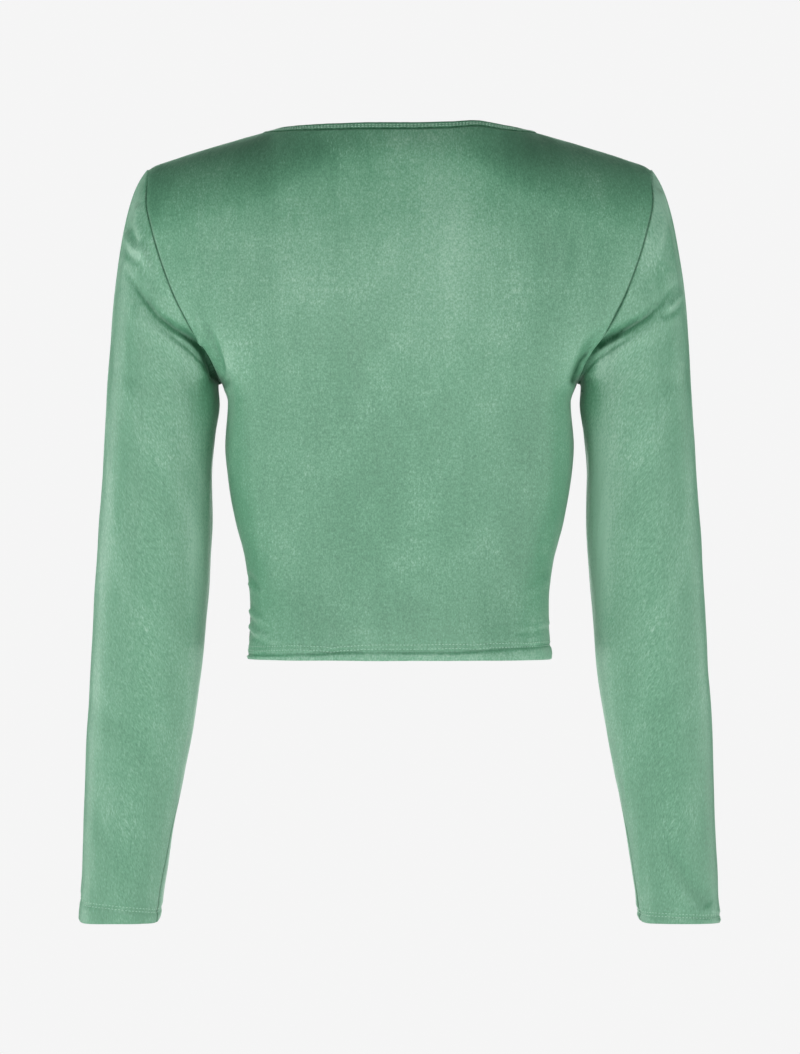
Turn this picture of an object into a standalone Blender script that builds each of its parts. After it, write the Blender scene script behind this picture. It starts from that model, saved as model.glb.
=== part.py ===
# Long-sleeved drawstring crop top in its worn shape, hollow and open at neck, hem and cuffs.
# The front faces -Y, the wearer's left is +X, and height 0 is the shoulder line beside the neck.
# Lengths are in millimetres here, and each mesh is written in metres.

import math

import bmesh
import bpy
import numpy as np

MM = 0.001

# Driving dimensions
WALL = 1.4  # cloth
HEM_WALL = 2.2  # cloth turned up on itself
SEAM_GAP = 0.3
EDGE_STRIP = 1.5  # a narrow row of faces beside each armhole, so that both walls leave the seam alike
TOP_STRIP = 0.1  # height of one at the shoulder seam
ARMPIT_HEIGHT = -197
HEM_HEIGHT = -411
CUFF_HEIGHT = -621
HEM_DEPTH = 15
NECK_HALF_WIDTH = 107  # to the edge of the panels, below the binding
FRONT_NECK_DROP = 116
FRONT_NECK_SHAPE = (2.4, 1.05)  # powers of its outline: how flat it is at the centre, and at the shoulder
SHOULDER_TIP = 195
BACK_ROLL, FRONT_ROLL = 60, 75  # heights over which the panels round over the shoulder
BODY_SQUARENESS = 2.5
HOLLOW_SHARPNESS = 7  # how closely the hollow under the arm keeps to the seam
SLEEVE_SQUARENESS = 2.15
BINDING_WIDTH = 6.8
BINDING_SECTION = (  # (on into the neck, out of the panel's face)
    (0, 0.4),
    (2, 0.6),
    (5.2, 0.6),
    (BINDING_WIDTH - 0.2, 0.1),
    (BINDING_WIDTH, -1),
    (5.4, -1.8),
    (2.4, -1.9),
    (0.6, -1.7),
)
CASING_WIDTH = 24
CASING_PUCKER = 0.3  # share of the panel's gathers that its casing shows
CASING_WALL = 1.0
CHANNEL_RISE = 2.4  # of each of the casing's two cord channels above the front panel
CASING_TOP, CASING_BOTTOM = -121, -409
CASING_FADE = 8  # over which the gathers beside the casing grow to their full height
HEM_FADE = 12  # and over which they die away above the turned hem
SEAM_FADE = 8  # and over which all folds die away beside a seam
OUTSIDE_FADE = 0.04  # share of the sleeve's girth, to each side of its outside, with no folds

# The sleeve's way out of its seam: down from the shoulder tip, and out from under the arm
CAP_FALL = (0.45, 0, -0.89)
CAP_FALL_SHARE = 0.78
CAP_FALL_SPREAD = 0.7  # power of its fade down the armhole
CAP_ASIDE = (0.96, 0, 0.28)
CAP_ASIDE_SPREAD = 1.5
CAP_LEAVE, CAP_ARRIVE = 0.6, 1.1  # how far the cap keeps its way at the seam, and the arm's at the biceps
JUST_INSIDE = 0.985  # share of the way to the seam at which the body's cloth gives the seam's direction

# Counts of faces
NECK_COLUMNS = {1: 8, -1: 10}  # of half the back and half the front
SHOULDER_COLUMNS = 8
SHOULDER_COLUMN_SPREAD = 0.8
ARMHOLE_ROWS = 15
LOWER_ROWS = 11
CAP_ROWS = 9
CAP_ROW_SPREAD = 1.15
ARM_ROWS = 14
CHANNEL_COLUMNS = 4  # across each cord channel of the casing

GREEN = (0.162, 0.356, 0.246, 1.0)
CLOTH_ROUGHNESS = 0.42

# The seam is the armhole, and below it the side. Past an armhole the body's section goes on by its
# overhang, where the sleeve is; towards the centre line it widens to its soft_girth, which keeps the
# hollow under the arm beside the seam.
TORSO_COLUMNS = ("height", "seam_x", "overhang", "soft_girth", "back_y", "front_y")
TORSO = (
    (45, SHOULDER_TIP, 17, 214, 48, 44),
    (0, SHOULDER_TIP, 17.5, 214, 66, 62),
    (-30.5, SHOULDER_TIP, 18, 214, 78, 78),
    (-55, 196, 18, 213, 84, 90),
    (-80, 191, 22, 211, 89, 100),
    (-105, 183.5, 25.5, 207, 92, 108),
    (-130, 174, 27, 200, 94, 114),
    (-148, 165, 25, 194, 95, 117),
    (-162, 157, 19.5, 188, 95, 119),
    (-173, 149, 15, 182.5, 95, 120),
    (-184, 143, 8.5, 176.5, 94.5, 121),
    (-191, 140.3, 4, 172.5, 94, 121),
    (-197, 138.5, 0, 169, 93.5, 121),
    (-212, 133.6, 0, 161, 92.5, 120),
    (-247, 135.6, 0, 145.5, 89.5, 115),
    (-269, 134, 0, 138.5, 87.5, 110),
    (-303, 128, 0, 129.5, 83.5, 101),
    (-338, 119.6, 0, 120.2, 80, 94),
    (-366, 116.5, 0, 116.8, 78.5, 91),
    (-392, 116.6, 0, 116.6, 78.5, 90),
    (HEM_HEIGHT, 118.5, 0, 118.5, 79, 90),
)

# The shoulder line, and inside the neck the line that the panels would round over if they went on
LINE_COLUMNS = ("x", "height")
SHOULDER_LINE = (
    (0, 38),
    (40, 33),
    (70, 20),
    (88, 8),
    (100, 0.5),
    (121.5, -6),
    (157, -16.5),
    (180, -24),
    (190, -27.5),
    (SHOULDER_TIP, -30.5),
)

BACK_NECK_LINE = (
    (0, -2.4),
    (40, -2.2),
    (62, -1.9),
    (80, -2.2),
    (94, -2.5),
)

SLEEVE_COLUMNS = ("height", "inner_x", "outer_x", "depth", "middle_y")
SLEEVE = (
    (-190, 140.8, 227, 104, 0),
    (-215, 141, 228.4, 100, 0),
    (-236, 143.8, 229.5, 97, 0),
    (-270, 146.4, 231.8, 93, -1),
    (-303, 146.2, 234, 90, -2),
    (-335, 147.8, 236.3, 88, -4),
    (-382, 151.3, 239.2, 84, -8),
    (-425, 155.5, 242, 80, -14),
    (-470, 163, 244.7, 75, -21),
    (-505, 169.6, 246.6, 69, -26),
    (-540, 176.8, 247.9, 64, -31),
    (-580, 182.6, 249.7, 60, -36),
    (-606, 187, 251, 58, -39),
    (CUFF_HEIGHT, 188.3, 252.8, 57, -40),
)

# Folds, each along a path of (x, height) seen from behind, on one side of one half. A ridge has a
# rise above 0 and a trough one below 0.
FOLD_COLUMNS = ("piece", "side", "rise", "width", "path")
FOLDS = (
    (
        "sleeve",
        "back",
        -3.4,
        7,
        ((214, -108), (197, -129), (184, -148), (169, -160), (150, -177), (143, -193)),
    ),
    (
        "sleeve",
        "back",
        2.2,
        9,
        ((222, -128), (205, -146), (190, -166), (172, -180), (156, -192), (148, -206)),
    ),
    ("sleeve", "back", -2.0, 8, ((228, -176), (212, -186), (192, -196), (170, -206), (152, -214))),
    ("sleeve", "front", -3.0, 8, ((213, -112), (196, -134), (182, -152), (166, -165), (148, -182))),
    ("sleeve", "front", -2.4, 10, ((236, -352), (214, -346), (190, -334), (166, -326))),
    ("sleeve", "front", 2.0, 10, ((236, -334), (214, -328), (190, -316), (166, -308))),
    ("body", "back", -2.4, 6, ((147, -158), (140, -172), (134, -184), (130, -197))),
    ("body", "front", -2.4, 7, ((146, -160), (136, -176), (126, -190), (116, -200))),
)
FOLD_START = 0.12  # how far into its rise and fall a fold is where its path begins

# Gathers that a drawstring draws up, from the casing towards each side seam, where each is lower by its
# fall
GATHER_COLUMNS = ("height", "fall", "rise")
GATHERS = (
    (-150, 34, 2.0),
    (-178, 26, 2.3),
    (-206, 18, 2.5),
    (-234, 10, 2.6),
    (-262, 3, 2.6),
    (-290, -3, 2.5),
    (-318, -8, 2.4),
    (-346, -10, 2.2),
    (-374, -9, 1.8),
)
GATHER_WIDTH = 8
GATHER_REACH = 92  # from the centre line
GATHER_SPREAD = 0.8  # power of its fade on the way there


def rows_of(table, columns):
    """Each row of a table, with its values by the names of their columns."""
    return [dict(zip(columns, row)) for row in table]


def smooth_line(table, columns, key, value):
    """A smooth function of one column of the table that gives another, with no overshoot."""
    rows = sorted((row[key], row[value]) for row in rows_of(table, columns))
    xs, ys = np.array(rows, float).T
    steps = np.diff(xs)
    slopes = np.diff(ys) / steps
    before, after = slopes[:-1], slopes[1:]
    total = np.where(before * after > 0, before + after, 1)
    inner = np.where(before * after > 0, 2 * before * after / total, 0)
    tangents = np.concatenate([slopes[:1], inner, slopes[-1:]])

    def at(x):
        x = np.clip(np.asarray(x, float), xs[0], xs[-1])
        i = np.clip(np.searchsorted(xs, x) - 1, 0, len(steps) - 1)
        t = (x - xs[i]) / steps[i]
        rise = ys[i + 1] - ys[i]
        start, end = tangents[i] * steps[i], tangents[i + 1] * steps[i]
        return ys[i] + t * (start + t * (3 * rise - 2 * start - end + t * (start + end - 2 * rise)))

    return at


torso = {name: smooth_line(TORSO, TORSO_COLUMNS, "height", name) for name in TORSO_COLUMNS[1:]}
sleeve = {name: smooth_line(SLEEVE, SLEEVE_COLUMNS, "height", name) for name in SLEEVE_COLUMNS[1:]}
shoulder_height = smooth_line(SHOULDER_LINE, LINE_COLUMNS, "x", "height")
neck_point = (NECK_HALF_WIDTH, float(shoulder_height(NECK_HALF_WIDTH)))
back_neck_height = smooth_line((*BACK_NECK_LINE, neck_point), LINE_COLUMNS, "x", "height")


def on_body(side, across, height):
    """The cloth's outer face: across is 0 at the centre line and 1 at the armhole and side seam."""
    seam_x = torso["seam_x"](height)
    x = across * seam_x
    depth = torso["back_y" if side > 0 else "front_y"](height)
    roll = BACK_ROLL if side > 0 else FRONT_ROLL
    beside = np.abs(across) ** HOLLOW_SHARPNESS
    tight_girth = seam_x + torso["overhang"](height)
    girth = tight_girth * beside + torso["soft_girth"](height) * (1 - beside)
    share = np.clip(np.abs(x) / girth, 0, 1)
    section = (1 - share**BODY_SQUARENESS) ** (1 / BODY_SQUARENESS)
    drop = np.clip((shoulder_height(np.abs(x)) - height) / roll, 0, 1)
    rolled = np.sqrt(1 - (1 - drop) ** 2)
    y = side * (SEAM_GAP / 2 + depth * section * rolled)
    return np.stack(np.broadcast_arrays(x, y, height), -1)


def top_edge(side):
    """(across, height) down the top edge of half a panel, from the centre line to the shoulder tip."""
    x = NECK_HALF_WIDTH * np.sin(np.linspace(0, math.pi / 2, NECK_COLUMNS[side] + 1))
    if side > 0:
        height = back_neck_height(x)
    else:
        at_centre, at_shoulder = FRONT_NECK_SHAPE
        falls = (1 - (x / NECK_HALF_WIDTH) ** at_centre) ** at_shoulder
        height = neck_point[1] - FRONT_NECK_DROP * falls
    along = np.sin(np.linspace(0, math.pi / 2, SHOULDER_COLUMNS + 1)[1:]) ** SHOULDER_COLUMN_SPREAD
    shoulder_x = NECK_HALF_WIDTH + (SHOULDER_TIP - NECK_HALF_WIDTH) * along
    x = np.concatenate([x, shoulder_x])
    height = np.concatenate([height, shoulder_height(shoulder_x)])
    return x / torso["seam_x"](height), height


def row_shares():
    """Shares of the way from the top edge to the hem, with a row at the armpit on the seam."""
    tip = shoulder_height(SHOULDER_TIP)
    armpit = (tip - ARMPIT_HEIGHT) / (tip - HEM_HEIGHT)
    turn = np.linspace(0, math.pi, ARMHOLE_ROWS)
    upper = np.insert(armpit * (1 - np.cos(turn)) / 2, 1, TOP_STRIP / (tip - HEM_HEIGHT))
    fold = 1 - HEM_DEPTH / (tip - HEM_HEIGHT)
    lower = np.linspace(armpit, fold, LOWER_ROWS)[1:]
    return np.concatenate([upper, lower, [1]])


def unit(vectors):
    return vectors / np.maximum(np.linalg.norm(vectors, axis=-1, keepdims=True), 1e-9)


def normals_of(points):
    """Unit normals of a grid of points, by its rows and columns."""
    return unit(np.cross(np.gradient(points, axis=0), np.gradient(points, axis=1)))


def fold_rise(piece, side, points):
    """How far the folds move each point out, in mm."""
    x, height = np.abs(points[..., 0]), points[..., 2]
    total = np.zeros(x.shape)
    for fold in rows_of(FOLDS, FOLD_COLUMNS):
        if (fold["piece"], fold["side"]) != (piece, side):
            continue
        path = fold["path"]
        nearest = np.full(x.shape, np.inf)
        along = np.zeros(x.shape)
        for i, (start, end) in enumerate(zip(path, path[1:])):
            run = np.subtract(end, start)
            t = ((x - start[0]) * run[0] + (height - start[1]) * run[1]) / (run @ run)
            t = np.clip(t, 0, 1)
            away = np.hypot(x - start[0] - t * run[0], height - start[1] - t * run[1])
            along = np.where(away < nearest, (i + t) / (len(path) - 1), along)
            nearest = np.minimum(nearest, away)
        fade = np.sin((FOLD_START + (1 - FOLD_START) * along) * math.pi)
        total += fold["rise"] * np.exp(-((nearest / fold["width"]) ** 2)) * np.clip(fade, 0, 1) ** 0.5
    return total


def gather_rise(points):
    """Soft gathers of the front panel, deepest beside the casing."""
    x, height = np.abs(points[..., 0]), points[..., 2]
    out = np.clip(1 - x / GATHER_REACH, 0, 1) ** GATHER_SPREAD
    total = np.zeros(x.shape)
    for gather in rows_of(GATHERS, GATHER_COLUMNS):
        middle = gather["height"] - gather["fall"] * x / GATHER_REACH
        total += gather["rise"] * np.exp(-(((height - middle) / GATHER_WIDTH) ** 2)) * out
    beside = np.clip((x - CASING_WIDTH / 2) / CASING_FADE, 0, 1)
    above_hem = np.clip((height - HEM_HEIGHT - HEM_DEPTH) / HEM_FADE, 0, 1)
    return total * beside * above_hem


def panel_points(side):
    """Grid of a whole panel's outer face, as rows from top to hem and columns across."""
    across, top = top_edge(side)
    shares = row_shares() if side > 0 else finer_rows(row_shares())
    across = np.concatenate([-across[:0:-1], across])
    top = np.concatenate([top[:0:-1], top])
    height = top + (HEM_HEIGHT - top) * shares[:, None]
    points = on_body(side, across[None, :], height)
    rise = fold_rise("body", "back" if side > 0 else "front", points)
    if side < 0:
        rise = rise + gather_rise(points)
    seam_fade = np.clip((1 - np.abs(across)) * SHOULDER_TIP / SEAM_FADE, 0, 1)
    normal = normals_of(points) * -side
    return points + normal * (rise * seam_fade)[..., None]


def finer_rows(shares):
    """The rows with one more in the middle of each gap below the armpit, where the front is gathered."""
    middle = (shares[1:] + shares[:-1]) / 2
    return np.sort(np.concatenate([shares, middle[ARMHOLE_ROWS:-1]]))


def mesh_from_grid(name, points, closed=False):
    """A grid of faces laid through the points, its last column joined to its first if closed."""
    rows, columns = points.shape[:2]
    faces = bmesh.new()
    bmesh.ops.create_grid(faces, x_segments=columns - 1, y_segments=rows - 1, size=1)
    for vertex in faces.verts:
        column = round((vertex.co.x + 1) / 2 * (columns - 1))
        row = round((1 - vertex.co.y) / 2 * (rows - 1))
        vertex.co = points[row, column] * MM
    if closed:
        bmesh.ops.remove_doubles(faces, verts=faces.verts[:], dist=1e-5)
    mesh = bpy.data.meshes.new(name)
    faces.to_mesh(mesh)
    faces.free()
    return mesh


def green_cloth(name):
    material = bpy.data.materials.new(name + "_cloth")
    material.use_nodes = True
    shader = material.node_tree.nodes["Principled BSDF"]
    shader.inputs["Base Color"].default_value = GREEN
    shader.inputs["Roughness"].default_value = CLOTH_ROUGHNESS
    shader.inputs["Metallic"].default_value = 0
    return material


def add_piece(mesh, collection):
    piece = bpy.data.objects.new(mesh.name, mesh)
    collection.objects.link(piece)
    mesh.materials.append(green_cloth(mesh.name))
    mesh.shade_smooth()
    return piece


def add_wall(piece, hem_height=None):
    """Gives the cloth its thickness inwards, and more where its hem is turned up."""
    wall = piece.modifiers.new("wall", "SOLIDIFY")
    wall.offset = -1
    wall.thickness = WALL * MM
    if hem_height is None:
        return
    hem = piece.vertex_groups.new(name="turned_hem")
    turned = [v.index for v in piece.data.vertices if v.co.z < (hem_height + HEM_DEPTH / 2) * MM]
    hem.add(turned, 1, "REPLACE")
    wall.thickness = HEM_WALL * MM
    wall.vertex_group = hem.name
    wall.thickness_vertex_group = WALL / HEM_WALL


def build_panel(name, side, collection):
    points = panel_points(side)
    piece = add_piece(mesh_from_grid(name, points if side < 0 else points[:, ::-1]), collection)
    add_wall(piece, HEM_HEIGHT)


def armhole():
    """Armhole points from the shoulder tip down the back and up the front, and the cloth's way out."""
    tip = shoulder_height(SHOULDER_TIP)
    shares = row_shares()[: ARMHOLE_ROWS + 1]
    height = tip + (HEM_HEIGHT - tip) * shares
    back, front = on_body(1, 1.0, height), on_body(-1, 1.0, height)
    loop = np.concatenate([back, front[-2::-1]])
    inside = np.concatenate([on_body(1, JUST_INSIDE, height), on_body(-1, JUST_INSIDE, height)[-2::-1]])
    for end in (0, -1, ARMHOLE_ROWS):
        loop[end, 1] = inside[end, 1] = 0
    line = np.roll(loop[:-1], -1, axis=0) - np.roll(loop[:-1], 1, axis=0)
    line = unit(np.concatenate([line, line[:1]]))
    away = loop - inside
    return loop, unit(away - (away * line).sum(1, keepdims=True) * line)


def sleeve_ring(turns, height):
    """Section of the sleeve at one height; turn 0 is the outside, a quarter is the back, a half inside."""
    inner, outer = sleeve["inner_x"](height), sleeve["outer_x"](height)
    angle = turns * 2 * math.pi
    power = 2 / SLEEVE_SQUARENESS
    cos, sin = np.cos(angle), np.sin(angle)
    x = (inner + outer) / 2 + (outer - inner) / 2 * np.sign(cos) * np.abs(cos) ** power
    y = sleeve["middle_y"](height) + sleeve["depth"](height) / 2 * np.sign(sin) * np.abs(sin) ** power
    return np.stack([x, y, np.full(len(x), float(height))], -1)


def sleeve_points():
    """Grid of the left sleeve's outer face, as rows from the armhole to the cuff."""
    seam, outward = armhole()
    lengths = np.linalg.norm(np.diff(seam, axis=0), axis=1)
    turns = np.concatenate([[0], np.cumsum(lengths)]) / lengths.sum()
    first = seam + outward * SEAM_GAP
    second = seam + outward * (SEAM_GAP + EDGE_STRIP)

    # From the shoulder the cap falls steeply, and at the armpit it turns straight out and down
    top = np.cos(turns * math.pi * 2)[:, None]
    upper = np.clip(top, 0, 1) ** CAP_FALL_SPREAD * CAP_FALL_SHARE
    lower = np.clip(-top, 0, 1) ** CAP_ASIDE_SPREAD
    way = unit(outward + (CAP_FALL - outward) * upper + (CAP_ASIDE - outward) * lower)

    biceps = SLEEVE[1][0]
    ring, below = sleeve_ring(turns, biceps), sleeve_ring(turns, biceps - WALL)
    reach = np.linalg.norm(ring - second, axis=1, keepdims=True)
    leave, arrive = way * reach * CAP_LEAVE, unit(below - ring) * reach * CAP_ARRIVE
    rows = [first, second]
    for t in (np.arange(1, CAP_ROWS) / CAP_ROWS) ** CAP_ROW_SPREAD:
        end = 3 * t**2 - 2 * t**3
        row = (1 - end) * second + end * ring
        rows.append(row + (t**3 - 2 * t**2 + t) * leave + (t**3 - t**2) * arrive)
    fold = CUFF_HEIGHT + HEM_DEPTH
    for height in [*np.linspace(biceps, fold, ARM_ROWS), CUFF_HEIGHT]:
        rows.append(sleeve_ring(turns, height))
    points = np.array(rows)
    back = points[..., 1] > sleeve["middle_y"](points[..., 2])
    rise = np.where(back, fold_rise("sleeve", "back", points), fold_rise("sleeve", "front", points))
    rise[:2] = 0
    rise *= np.clip(np.minimum(turns, 1 - turns) / OUTSIDE_FADE, 0, 1)
    return points + normals_of(points) * rise[..., None]


def build_sleeve(name, side, collection):
    points = sleeve_points()
    if side < 0:
        points = points[:, ::-1] * (-1, 1, 1)
    piece = add_piece(mesh_from_grid(name, points, closed=True), collection)
    add_wall(piece, CUFF_HEIGHT)


def neck_loop():
    """Neck edge of the panels, once round from the centre back by the left shoulder, with the cloth's
    directions out of its face and on into the neck."""
    back, front = panel_points(1), panel_points(-1)
    edge = {1: back[0], -1: front[0]}
    out = {1: -normals_of(back)[0], -1: normals_of(front)[0]}
    points, face = [], []
    for side, half in ((1, 1), (-1, 1), (-1, -1), (1, -1)):
        middle = len(edge[side]) // 2
        order = middle + half * np.arange(NECK_COLUMNS[side] + 1)
        order = order[:-1] if side == half else order[:0:-1]
        points.append(edge[side][order])
        face.append(out[side][order])
    points, face = np.concatenate(points), np.concatenate(face)
    for at in (NECK_COLUMNS[1], NECK_COLUMNS[1] + 2 * NECK_COLUMNS[-1]):
        points[at, 1] = 0
        face[at] = (face[at - 1] + face[at + 1]) * (1, 0, 1)
    along = np.roll(points, -1, axis=0) - np.roll(points, 1, axis=0)
    face = unit(face)
    return points, face, unit(np.cross(along, face))


def build_binding(name, collection):
    """The strip that binds the neckline: a folded section carried once round."""
    points, face, inward = neck_loop()
    rows = [points + inward * (SEAM_GAP + reach) + face * rise for reach, rise in BINDING_SECTION]
    grid = np.array(rows + rows[:1])
    grid = np.concatenate([grid, grid[:, :1]], axis=1)
    add_piece(mesh_from_grid(name, grid, closed=True), collection)


def build_casing(name, collection):
    """The drawstring's channel: two open tunnels sewn on the front panel, from its points moved out."""
    panel = panel_points(-1)
    middle = panel.shape[1] // 2
    centre, beside, face = panel[:, middle], panel[:, middle + 1], normals_of(panel)[:, middle]
    lies_on = (centre[:, 2] < CASING_TOP) & (centre[:, 2] > CASING_BOTTOM)
    centre, beside, face = centre[lies_on], beside[lies_on], face[lies_on]
    face[:, 0] = 0
    places = np.linspace(-1, 1, 2 * CHANNEL_COLUMNS + 1)
    pucker = np.zeros(len(centre))
    for gather in rows_of(GATHERS, GATHER_COLUMNS):
        pucker += gather["rise"] * np.exp(-(((centre[:, 2] - gather["height"]) / GATHER_WIDTH) ** 2))
    columns = []
    for place in places:
        share = abs(place) * CASING_WIDTH / 2 / beside[:, 0]
        base = centre + (beside - centre) * share[:, None]
        base[:, 0] = place * CASING_WIDTH / 2
        rise = SEAM_GAP + CASING_WALL + CHANNEL_RISE * abs(math.sin(place * math.pi))
        columns.append(base + unit(face) * (rise + CASING_PUCKER * pucker)[:, None])
    piece = add_piece(mesh_from_grid(name, np.array(columns).transpose(1, 0, 2)), collection)
    wall = piece.modifiers.new("wall", "SOLIDIFY")
    wall.offset = -1
    wall.thickness = CASING_WALL * MM


def build_all():
    for old in list(bpy.data.objects):
        bpy.data.objects.remove(old, do_unlink=True)
    top = bpy.data.collections.new("drawstring_crop_top")
    bpy.context.scene.collection.children.link(top)
    build_panel("back_panel", 1, top)
    build_panel("front_panel", -1, top)
    build_sleeve("sleeve_left", 1, top)
    build_sleeve("sleeve_right", -1, top)
    build_binding("neck_binding", top)
    build_casing("drawstring_casing", top)


build_all()
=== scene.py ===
# Long-sleeved crop top in green satin jersey, filled out as worn and seen from behind.
# Lengths in the tables are millimetres; heights run down from the shoulder line beside the neck.
import math
import random

import bmesh
import bpy
import numpy as np
from mathutils import Matrix


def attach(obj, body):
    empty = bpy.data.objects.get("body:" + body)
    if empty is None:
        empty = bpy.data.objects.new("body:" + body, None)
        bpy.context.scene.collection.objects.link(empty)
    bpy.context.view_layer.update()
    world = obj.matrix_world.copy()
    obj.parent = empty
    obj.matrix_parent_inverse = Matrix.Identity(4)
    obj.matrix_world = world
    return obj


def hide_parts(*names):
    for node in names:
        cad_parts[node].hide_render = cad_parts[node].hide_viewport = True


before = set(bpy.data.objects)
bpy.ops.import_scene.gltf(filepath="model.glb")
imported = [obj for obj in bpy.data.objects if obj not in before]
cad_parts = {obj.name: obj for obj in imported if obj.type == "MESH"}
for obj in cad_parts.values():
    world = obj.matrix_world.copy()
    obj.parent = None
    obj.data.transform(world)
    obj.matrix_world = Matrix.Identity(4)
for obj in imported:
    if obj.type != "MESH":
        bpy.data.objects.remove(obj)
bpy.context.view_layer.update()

mm = 0.001


# the body's form: a row for each height, as the solids have it
bodyColumns = ("height", "seamX", "overhang", "softGirth", "backY", "frontY")
bodyRows = (
    (45, 195, 17, 214, 48, 44), (0, 195, 17.5, 214, 66, 62),
    (-30.5, 195, 18, 214, 78, 78), (-55, 196, 18, 213, 84, 90),
    (-80, 191, 22, 211, 89, 100), (-105, 183.5, 25.5, 207, 92, 108),
    (-130, 174, 27, 200, 94, 114), (-148, 165, 25, 194, 95, 117),
    (-162, 157, 19.5, 188, 95, 119), (-173, 149, 15, 182.5, 95, 120),
    (-184, 143, 8.5, 176.5, 94.5, 121), (-191, 140.3, 4, 172.5, 94, 121),
    (-197, 138.5, 0, 169, 93.5, 121), (-212, 133.6, 0, 161, 92.5, 120),
    (-247, 135.6, 0, 145.5, 89.5, 115), (-269, 134, 0, 138.5, 87.5, 110),
    (-303, 128, 0, 129.5, 83.5, 101), (-338, 119.6, 0, 120.2, 80, 94),
    (-366, 116.5, 0, 116.8, 78.5, 91), (-392, 116.6, 0, 116.6, 78.5, 90),
    (-411, 118.5, 0, 118.5, 79, 90),
)
# the shoulder line and the back neckline: distance from the middle, height
shoulderRows = (
    (0, 38), (40, 33), (70, 20), (88, 8), (100, 0.5),
    (121.5, -6), (157, -16.5), (180, -24), (190, -27.5), (195, -30.5),
)
backNeckRows = ((0, -2.4), (40, -2.2), (62, -1.9), (80, -2.2), (94, -2.5))
sleeveColumns = ("height", "innerX", "outerX", "depth", "middleY")
sleeveRows = (
    (-190, 140.8, 227, 104, 0), (-215, 141, 228.4, 100, 0),
    (-236, 143.8, 229.5, 97, 0), (-270, 146.4, 231.8, 93, -1),
    (-303, 146.2, 234, 90, -2), (-335, 147.8, 236.3, 88, -4),
    (-382, 151.3, 239.2, 84, -8), (-425, 155.5, 242, 80, -14),
    (-470, 163, 244.7, 75, -21), (-505, 169.6, 246.6, 69, -26),
    (-540, 176.8, 247.9, 64, -31), (-580, 182.6, 249.7, 60, -36),
    (-606, 187, 251, 58, -39), (-621, 188.3, 252.8, 57, -40),
)

bodyCut = {
    "armpit": -197, "hem": -411, "shoulderTip": 195, "neckHalfWidth": 107, "frontNeckDrop": 116,
    "frontNeckFlat": 2.4, "frontNeckSteep": 1.05, "backRoll": 60, "frontRoll": 75,
    "squareness": 2.5, "hollow": 7, "inset": 0.985, "hemTurn": 15,
    "hemZone": 20,  # height of the rows that stand closer together at the hem
    "foldRadius": 0.95, "foldSteps": 8, "cloth": 0.9, "neckColumns": {1: 46, -1: 52},
    "shoulderStep": 2.4, "armholeRows": 114, "lowerRows": 104, "hemRows": 16,
}

# the back neckline climbs a little to the right of its middle: x, width, lift
neckLifts = {"fade": 24, "rows": ((-61, 14, 1.9), (-42, 20, 0.7), (62, 22, -0.75))}

sleeveCut = {
    "cuff": -619, "biceps": -215, "squareness": 2.5, "capRows": 68, "armRows": 94, "cuffRows": 14,
    "capFall": (0.45, 0, -0.89), "capAside": (0.96, 0, 0.28), "leave": 0.6, "arrive": 1.1,
    "cuffTurn": 15,
    "cuffZone": 20,  # height of the rows that stand closer together at the cuff
    "flatGirth": 290, "bandMiddle": 11,
    "seamSteps": (0.6, 1.2, 1.8),  # first rows off the armhole seam
    "cornerLift": 3.0, "cornerSharpness": 16, "seamShowsFrom": 500, "seamShowsOver": 80,
    "seamTurn": {1: 0.074, -1: 0.05},  # how far the underarm seam wanders to the back, in turns
}


def smoothLine(rows, column):
    # a smooth function of the first column that gives another, with no overshoot
    xs, ys = np.array(sorted((row[0], row[column]) for row in rows), float).T
    steps = np.diff(xs)
    slopes = np.diff(ys) / steps
    before, after = slopes[:-1], slopes[1:]
    total = np.where(before * after > 0, before + after, 1)
    inner = np.where(before * after > 0, 2 * before * after / total, 0)
    tangents = np.concatenate([slopes[:1], inner, slopes[-1:]])

    def at(x):
        x = np.clip(np.asarray(x, float), xs[0], xs[-1])
        i = np.clip(np.searchsorted(xs, x) - 1, 0, len(steps) - 1)
        t = (x - xs[i]) / steps[i]
        rise = ys[i + 1] - ys[i]
        start, end = tangents[i] * steps[i], tangents[i + 1] * steps[i]
        return ys[i] + t * (start + t * (3 * rise - 2 * start - end + t * (start + end - 2 * rise)))

    return at


body = {name: smoothLine(bodyRows, i) for i, name in enumerate(bodyColumns) if i}
arm = {name: smoothLine(sleeveRows, i) for i, name in enumerate(sleeveColumns) if i}
shoulderHeight = smoothLine(shoulderRows, 1)
neckCorner = (bodyCut["neckHalfWidth"], float(shoulderHeight(bodyCut["neckHalfWidth"])))
backNeckHeight = smoothLine((*backNeckRows, neckCorner), 1)


def unit(vectors):
    return vectors / np.maximum(np.linalg.norm(vectors, axis=-1, keepdims=True), 1e-9)


def ramp(values):
    return np.clip(values, 0, 1)


def bell(distance, width):
    # 1 in the middle, and next to nothing at twice the width
    return np.exp(-((distance / width) ** 2))


def looped(line):
    return np.append(line, line[:1], 0)


def normalsOf(points):
    return unit(np.cross(np.gradient(points, axis=0), np.gradient(points, axis=1)))


def lengthsAlong(points, axis):
    # distance from the grid's first row or column to each point, along the cloth
    steps = np.linalg.norm(np.diff(points, axis=axis), axis=-1)
    start = np.zeros_like(np.take(steps, [0], axis=axis))
    return np.concatenate([start, np.cumsum(steps, axis=axis)], axis=axis)


def closeSteps(length, first, growth, widest):
    # places from 0 to length that stand close together at 0
    places, step = [0.0], first
    while places[-1] < length:
        places.append(places[-1] + step)
        step = min(step * growth, widest)
    return np.array(places) * length / places[-1]


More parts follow.
